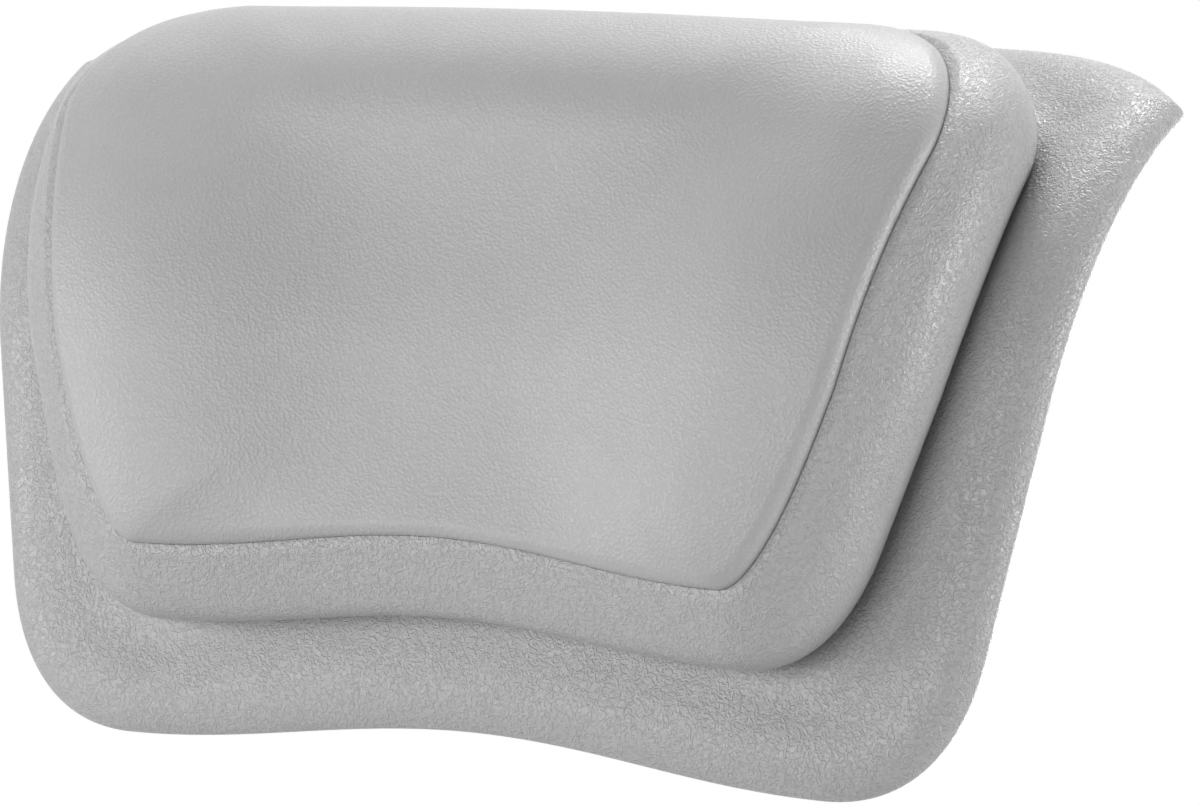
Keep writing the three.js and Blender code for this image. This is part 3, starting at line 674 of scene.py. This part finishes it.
def core_outline():
    """Outline of the neck core: a bar with round ends along the bolster."""
    ends = np.linspace(-math.pi / 2, math.pi / 2, CORE_END_STEPS)
    across = CORE_REACH + CORE_RADIUS * np.cos(ends)
    rise = CORE_RADIUS * np.sin(ends)
    run = np.linspace(CORE_REACH, -CORE_REACH, CORE_RUN_STEPS)[1:-1]
    return np.vstack([
        np.column_stack([across, BOLSTER_AT + rise]),
        np.column_stack([run, np.full_like(run, BOLSTER_AT + CORE_RADIUS)]),
        np.column_stack([-across, BOLSTER_AT - rise]),
        np.column_stack([run[::-1], np.full_like(run, BOLSTER_AT - CORE_RADIUS)])])


def core_top(outline):
    return pad_face(outline) - PAD_THICKNESS - CORE_GAP


def make_core():
    """Neck core: a foam bar with a rounded underside whose top follows the pad's underside."""
    edge = core_outline()
    centre = np.array([0.0, BOLSTER_AT])
    rings = [place(shrink_outline(edge, centre, share), CORE_FLOOR) for share in CORE_FLOOR_SHARES]
    for turn in quarter(CORE_ROUND_STEPS):
        outline = inset_outline(edge, CORE_ROUND * (1 - math.sin(turn)))
        rings.append(place(outline, CORE_FLOOR + CORE_ROUND * (1 - math.cos(turn))))
    rings.append(place(edge, core_top(edge) - CORE_TOP_ROUND))
    for share in CORE_TOP_SHARES:
        outline = shrink_outline(edge, centre, share)
        rings.append(place(outline, core_top(outline)))
    return ring_mesh("neck_core_foam", rings)


def turned_piece(name, profile, x, z):
    """A profile of radius and height turned about a cup's axis."""
    turns = np.linspace(0.0, 2 * math.pi, TURN_STEPS, endpoint=False)
    circle = np.column_stack([np.cos(turns), np.sin(turns)])
    rings = []
    for radius, height in profile:
        flat = circle * max(radius, CUP_AXIS_RADIUS) + [x, z]
        rings.append(np.column_stack([flat[:, 0], np.full(TURN_STEPS, -WALL_GAP - height), flat[:, 1]]))
    return ring_mesh(name, rings)


def cup_profile():
    """Half section of a suction cup: hollow, sealing lip, dome, hub, neck and mushroom head."""
    wall = -WALL_GAP
    lip_inner = CUP_RADIUS - CUP_LIP_WIDTH
    lip_outer = CUP_RADIUS - CUP_LIP_SLANT
    lip_top = wall + CUP_LIP_THICKNESS
    dome_top = wall + (CUP_HOLLOW + CUP_LIP_THICKNESS)
    hub_top = BUSH_BACK - FIT
    head_middle = (HEAD_BACK + HEAD_FRONT) / 2
    profile = [(0.0, wall + CUP_HOLLOW)]
    for t in np.linspace(*CUP_HOLLOW_RINGS):
        profile.append((lip_inner * t, wall + CUP_HOLLOW * (1 - t ** CUP_HOLLOW_POWER)))
    profile += [(CUP_RADIUS - CUP_LIP_ROUND, wall), (CUP_RADIUS, wall + CUP_LIP_ROUND)]
    profile += [(CUP_RADIUS, wall + CUP_TAB_THICKNESS), (lip_outer, lip_top)]
    for t in np.linspace(*CUP_DOME_RINGS):
        radius = lerp(lip_outer, CUP_HUB_RADIUS + CUP_HUB_FOOT_WIDTH, t)
        profile.append((radius, lerp(lip_top, dome_top, math.sin(t * math.pi / 2))))
    profile += [(CUP_HUB_RADIUS, dome_top + CUP_HUB_FOOT_RISE), (CUP_HUB_RADIUS, hub_top - CUP_HUB_ROUND)]
    profile += [(CUP_HUB_RADIUS - CUP_HUB_ROUND, hub_top), (CUP_NECK_RADIUS + CUP_NECK_ROUND, hub_top)]
    profile += [(CUP_NECK_RADIUS, hub_top + CUP_NECK_ROUND), (CUP_NECK_RADIUS, HEAD_BACK)]
    profile += [(CUP_HEAD_RADIUS - CUP_HEAD_ROUND, HEAD_BACK), (CUP_HEAD_RADIUS, HEAD_BACK + CUP_HEAD_ROUND)]
    for t in np.linspace(*CUP_HEAD_RINGS):
        angle = t * math.pi / 2
        height = lerp(head_middle, HEAD_FRONT, math.sin(angle))
        profile.append((CUP_HEAD_RADIUS * math.cos(angle) ** CUP_HEAD_POWER, height))
    return profile


def make_cup(name, x, z, upper):
    """Suction cup: its turned body with a release tab joined on."""
    cup = turned_piece(f"cup_{name}", cup_profile(), x, z)
    combine_pieces(cup, make_tab(x, z, 1.0 if upper else -1.0), "UNION")
    return cup


def make_tab(x, z, side):
    """Release tab: a thin tongue that leaves the lip, upward on the upper cups and downward on the lower."""
    turns = np.linspace(0.0, math.pi, TAB_STEPS)
    start = CUP_RADIUS - CUP_LIP_WIDTH / 2
    half = CUP_TAB_WIDTH / 2
    tongue = np.vstack([
        [[half, start], [half, CUP_RADIUS]],
        np.column_stack([half * np.cos(turns), CUP_RADIUS + CUP_TAB_REACH * np.sin(turns)]),
        [[-half, start]]])
    outline = tongue * side + [x, z]
    rings = [np.column_stack([outline[:, 0], np.full(len(outline), -height), outline[:, 1]])
             for height in (CUP_TAB_LIFT, CUP_TAB_THICKNESS)]
    return ring_mesh("cup_tab", rings)


def make_material(name, colour, roughness):
    material = bpy.data.materials.new(name)
    material.use_nodes = True
    shader = material.node_tree.nodes["Principled BSDF"]
    shader.inputs["Base Color"].default_value = (*colour, 1.0)
    shader.inputs["Roughness"].default_value = roughness
    return material, material.node_tree, shader


def object_coords(tree):
    return tree.nodes.new("ShaderNodeTexCoord").outputs["Object"]


def noise(tree, size, detail=2.0, bend=0.0):
    """Noise whose features have about the given size in metres."""
    node = tree.nodes.new("ShaderNodeTexNoise")
    node.inputs["Scale"].default_value = 1.0 / size
    node.inputs["Detail"].default_value = detail
    node.inputs["Distortion"].default_value = bend
    tree.links.new(object_coords(tree), node.inputs["Vector"])
    return node.outputs["Fac"]


def remap(tree, value, low, high, to_low, to_high):
    node = tree.nodes.new("ShaderNodeMapRange")
    node.interpolation_type = "SMOOTHSTEP"
    node.inputs["From Min"].default_value = low
    node.inputs["From Max"].default_value = high
    node.inputs["To Min"].default_value = to_low
    node.inputs["To Max"].default_value = to_high
    tree.links.new(value, node.inputs["Value"])
    return node.outputs["Result"]


def calculate(tree, operation, first, second):
    node = tree.nodes.new("ShaderNodeMath")
    node.operation = operation
    for value, socket in zip((first, second), node.inputs):
        if isinstance(value, (int, float)):
            socket.default_value = value
        else:
            tree.links.new(value, socket)
    return node.outputs["Value"]


def wrinkle_height(tree):
    """Raised meandering lines, as in a coarse leather grain, with a fine tooth over them."""
    folds = noise(tree, WRINKLE_SIZE, WRINKLE_DETAIL, WRINKLE_BEND)
    away = calculate(tree, "ABSOLUTE", calculate(tree, "SUBTRACT", folds, NOISE_MIDDLE), 0.0)
    line = remap(tree, away, 0.0, WRINKLE_LINE, 1.0, 0.0)
    tooth = calculate(tree, "MULTIPLY", noise(tree, TOOTH_SIZE), TOOTH_SHARE)
    return calculate(tree, "ADD", line, tooth)


def pebble_height(tree):
    """Small even pebbles, as in a fine leather grain."""
    node = tree.nodes.new("ShaderNodeTexVoronoi")
    node.feature = "SMOOTH_F1"
    node.inputs["Scale"].default_value = 1.0 / PEBBLE_SIZE
    node.inputs["Smoothness"].default_value = PEBBLE_SMOOTHNESS
    tree.links.new(object_coords(tree), node.inputs["Vector"])
    dome = remap(tree, node.outputs["Distance"], *PEBBLE_DOME, 1.0, 0.0)
    speck = calculate(tree, "MULTIPLY", noise(tree, SPECK_SIZE), SPECK_SHARE)
    return calculate(tree, "ADD", dome, speck)


def add_bump(tree, shader, height, depth):
    bump = tree.nodes.new("ShaderNodeBump")
    bump.inputs["Distance"].default_value = depth
    tree.links.new(height, bump.inputs["Height"])
    tree.links.new(bump.outputs["Normal"], shader.inputs["Normal"])


def add_gloss_change(tree, shader, roughness, spread, size):
    """Patches of slightly higher and lower gloss."""
    patches = noise(tree, size, GLOSS_DETAIL)
    changed = remap(tree, patches, *GLOSS_RANGE, roughness - spread, roughness + spread)
    tree.links.new(changed, shader.inputs["Roughness"])


def mix_tone(tree, shader, colour, spread, value):
    """Colour that runs from slightly darker to slightly lighter as a value goes from 0 to 1."""
    tone = tree.nodes.new("ShaderNodeMix")
    tone.data_type = "RGBA"
    tone.inputs[MIX_FIRST].default_value = (*(part * (1.0 - spread) for part in colour), 1.0)
    tone.inputs[MIX_SECOND].default_value = (*(part * (1.0 + spread) for part in colour), 1.0)
    tree.links.new(value, tone.inputs[MIX_SHARE])
    tree.links.new(tone.outputs[MIX_RESULT], shader.inputs["Base Color"])


def skin_material(name, grain, depth, roughness):
    """Moulded polyurethane skin with an embossed grain, whose tops are rubbed glossier and painted a little
    paler: a painted highlight standing in for glints on the ridges, partly rubbed wear.
    """
    material, tree, shader = make_material(name, SKIN_GREY, roughness)
    height = grain(tree)
    add_bump(tree, shader, height, depth)
    gloss = remap(tree, height, *GRAIN_RANGE, roughness + RUB_GLOSS, roughness - RUB_GLOSS)
    tree.links.new(gloss, shader.inputs["Roughness"])
    # Ridge tops painted paler: a painted highlight for glints, partly rubbed wear; the mottle added to it is
    # random tone
    ridge_glint_and_wear = remap(tree, height, *GRAIN_RANGE, 0.0, RIDGE_GLINT_SHARE)
    mottled = remap(tree, noise(tree, MOTTLE_SIZE, TONE_DETAIL), *MOTTLE_RANGE, 0.0, MOTTLE_SHARE)
    mix_tone(tree, shader, SKIN_GREY, RIDGE_GLINT_AND_MOTTLE_TONE, calculate(tree, "ADD", ridge_glint_and_wear, mottled))
    return material


def uneven_material(name, colour, roughness, grain, depth, tone, gloss=None):
    """A surface with a grain of given size, detail and bend, and patches of given spread and size."""
    material, tree, shader = make_material(name, colour, roughness)
    add_bump(tree, shader, noise(tree, *grain), depth)
    if gloss:
        add_gloss_change(tree, shader, roughness, *gloss)
    tone_spread, tone_size = tone
    mix_tone(tree, shader, colour, tone_spread, noise(tree, tone_size, TONE_DETAIL))
    return material, tree, shader


def vinyl_material():
    """Soft clear-grey vinyl, faintly milky, with the small unevenness of a moulded cup."""
    material, _, shader = uneven_material(
        "cup_vinyl", colour=(0.60, 0.64, 0.66), roughness=0.22, grain=(0.004, 2.0), depth=0.00006,
        tone=(0.05, 0.006), gloss=(0.06, 0.005))
    shader.inputs["Transmission Weight"].default_value = 0.35
    shader.inputs["IOR"].default_value = 1.53
    return material


def foam_material():
    """Open-celled foam."""
    return uneven_material(
        "core_foam", colour=(0.69, 0.67, 0.60), roughness=0.95, grain=(0.0012, 3.0, 0.4), depth=0.0005,
        tone=(0.12, 0.002))[0]


def plate_material():
    """Plastic from a lightly textured mould, dulled in patches by handling."""
    return uneven_material(
        "plate_plastic", colour=(0.09, 0.095, 0.10), roughness=0.48, grain=(0.0005, 3.0), depth=0.00004,
        tone=(0.06, 0.004), gloss=(0.08, 0.008))[0]


def bush_material():
    """Rubber from a lightly textured mould, dulled in patches by handling."""
    return uneven_material(
        "bush_rubber", colour=(0.035, 0.037, 0.04), roughness=0.62, grain=(0.0004, 3.0), depth=0.00003,
        tone=(0.06, 0.004), gloss=(0.08, 0.008))[0]


def seen_rays(tree):
    """1 for what the camera sees, straight, mirrored or through something clear, and 0 for other paths."""
    path = tree.nodes.new("ShaderNodeLightPath")
    seen = path.outputs["Is Camera Ray"]
    for ray in ("Is Glossy Ray", "Is Transmission Ray"):
        seen = calculate(tree, "MAXIMUM", seen, path.outputs[ray])
    return seen


def mix_shaders(tree, share, first, second, output):
    mix = tree.nodes.new("ShaderNodeMixShader")
    tree.links.new(share, mix.inputs["Fac"])
    tree.links.new(first, mix.inputs[1])
    tree.links.new(second, mix.inputs[2])
    tree.links.new(mix.outputs["Shader"], tree.nodes[output].inputs["Surface"])


def floor_material():
    """Pale paint: near white with soft shadows to the eye, and mid grey in the light it throws back."""
    material, tree, shader = uneven_material(
        "floor_paint", colour=FLOOR_GREY, roughness=0.8, grain=(0.01, 3.0), depth=0.0002, tone=(0.01, 0.2))
    glow = tree.nodes.new("ShaderNodeEmission")
    glow.inputs["Strength"].default_value = FLOOR_GLOW
    shade = tree.nodes.new("ShaderNodeBsdfDiffuse")
    shade.inputs["Color"].default_value = FLOOR_SHADE
    pale = tree.nodes.new("ShaderNodeAddShader")
    tree.links.new(glow.outputs["Emission"], pale.inputs[0])
    tree.links.new(shade.outputs["BSDF"], pale.inputs[1])
    mix_shaders(tree, seen_rays(tree), shader.outputs["BSDF"], pale.outputs["Shader"], "Material Output")
    return material


def make_floor():
    """A plain pale floor below the pillow, deep enough to lie outside the photograph's view."""
    half = FLOOR_HALF
    level = CAD_BOX[0][2] - FLOOR_DROP
    corners = np.array([[-half, -half, 0.0], [half, -half, 0.0], [half, half, 0.0], [-half, half, 0.0]])
    floor = new_piece("floor", corners + [0.0, 0.0, level], [[0, 1, 2, 3]])
    floor.data.materials.append(floor_material())


def make_world():
    """White for the camera and for reflections, a plain dimmer level for the light it gives."""
    world = bpy.data.worlds.new("studio")
    world.use_nodes = True
    tree = world.node_tree
    plain = tree.nodes["Background"]
    plain.inputs["Strength"].default_value = WORLD_STRENGTH
    plain.inputs["Color"].default_value = WHITE
    white = tree.nodes.new("ShaderNodeBackground")
    white.inputs["Color"].default_value = WHITE
    dim_light, seen_white = plain.outputs["Background"], white.outputs["Background"]
    mix_shaders(tree, seen_rays(tree), dim_light, seen_white, "World Output")
    bpy.context.scene.world = world


def make_light(name, azimuth, elevation, width, watts):
    """A soft box in a given direction, facing the middle of the pillow."""
    az, el = math.radians(azimuth), math.radians(elevation)
    way = Vector((math.sin(az) * math.cos(el), -math.cos(az) * math.cos(el), math.sin(el)))
    data = bpy.data.lights.new(name, "AREA")
    data.shape = "RECTANGLE"
    data.size = width
    data.size_y = BOX_HEIGHT
    data.energy = watts
    light = bpy.data.objects.new(name, data)
    facing = way.to_track_quat("Z", "Y").to_matrix().to_4x4()
    light.matrix_world = Matrix.Translation(BOX_AIM + way * BOX_DISTANCE) @ facing
    bpy.context.scene.collection.objects.link(light)


def make_camera():
    """Camera at the photograph's place, turned so that the target falls on its pixel."""
    az, el, roll = CAMERA_AZIMUTH, CAMERA_ELEVATION, CAMERA_ROLL
    right = Vector((math.cos(az), math.sin(az), 0.0))
    ahead = Vector((-math.sin(az) * math.cos(el), math.cos(az) * math.cos(el), -math.sin(el)))
    above = right.cross(ahead)
    across = math.cos(roll) * right + math.sin(roll) * above
    down = math.sin(roll) * right - math.cos(roll) * above
    place_at = CAMERA_TARGET - ahead * CAMERA_DISTANCE
    offset_x = (IMAGE_SIZE[0] / 2 - TARGET_PIXEL[0]) / FOCAL_PIXELS
    offset_y = (IMAGE_SIZE[1] / 2 - TARGET_PIXEL[1]) / FOCAL_PIXELS
    look = (ahead + across * offset_x + down * offset_y).normalized()
    x_axis = (across - look * across.dot(look)).normalized()
    y_axis = (-look).cross(x_axis)
    data = bpy.data.cameras.new("camera")
    data.sensor_width = SENSOR_WIDTH
    data.lens = FOCAL_PIXELS / IMAGE_SIZE[0] * SENSOR_WIDTH
    data.clip_end = CAMERA_FAR_LIMIT
    camera = bpy.data.objects.new("camera", data)
    turn = Matrix((x_axis, y_axis, -look)).transposed().to_4x4()
    camera.matrix_world = Matrix.Translation(place_at) @ turn
    bpy.context.scene.collection.objects.link(camera)
    bpy.context.scene.camera = camera


def dress_node(name, material):
    """Gives a CAD node that stays in view its finish."""
    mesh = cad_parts[name].data
    mesh.materials.clear()
    mesh.materials.append(material)


make_camera()

pad = make_pad()
collar = make_collar()
flange = make_flange()
core = make_core()
for piece, node, slot, fill in (
        (pad, "head_pad", "skin_fine", 0.9), (collar, "body_collar", "skin_coarse", 0.95),
        (flange, "base_flange", "skin_coarse", 1.0), (core, "neck_core", "core_foam", 0.9)):
    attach(piece, "pillow")
    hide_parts(node)
fine_skin = skin_material("skin_fine", pebble_height, PEBBLE_DEPTH, FINE_ROUGHNESS)
coarse_skin = skin_material("skin_coarse", wrinkle_height, WRINKLE_DEPTH, COARSE_ROUGHNESS)
pad.data.materials.append(fine_skin)
collar.data.materials.append(coarse_skin)
flange.data.materials.append(coarse_skin)
core.data.materials.append(foam_material())

vinyl = vinyl_material()
for name, x, z, upper in STATIONS:
    cup = make_cup(name, x, z, upper)
    cup.data.materials.append(vinyl)
    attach(cup, f"cup_{name}")
    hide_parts(f"suction_cup_{name}")

bush_rubber = bush_material()
dress_node("cup_plate", plate_material())
for name, *_ in STATIONS:
    dress_node(f"cup_bush_{name}", bush_rubber)

for box in SOFT_BOXES:
    make_light(*box)
make_world()
make_floor()
bpy.context.scene.view_settings.view_transform = "Standard"
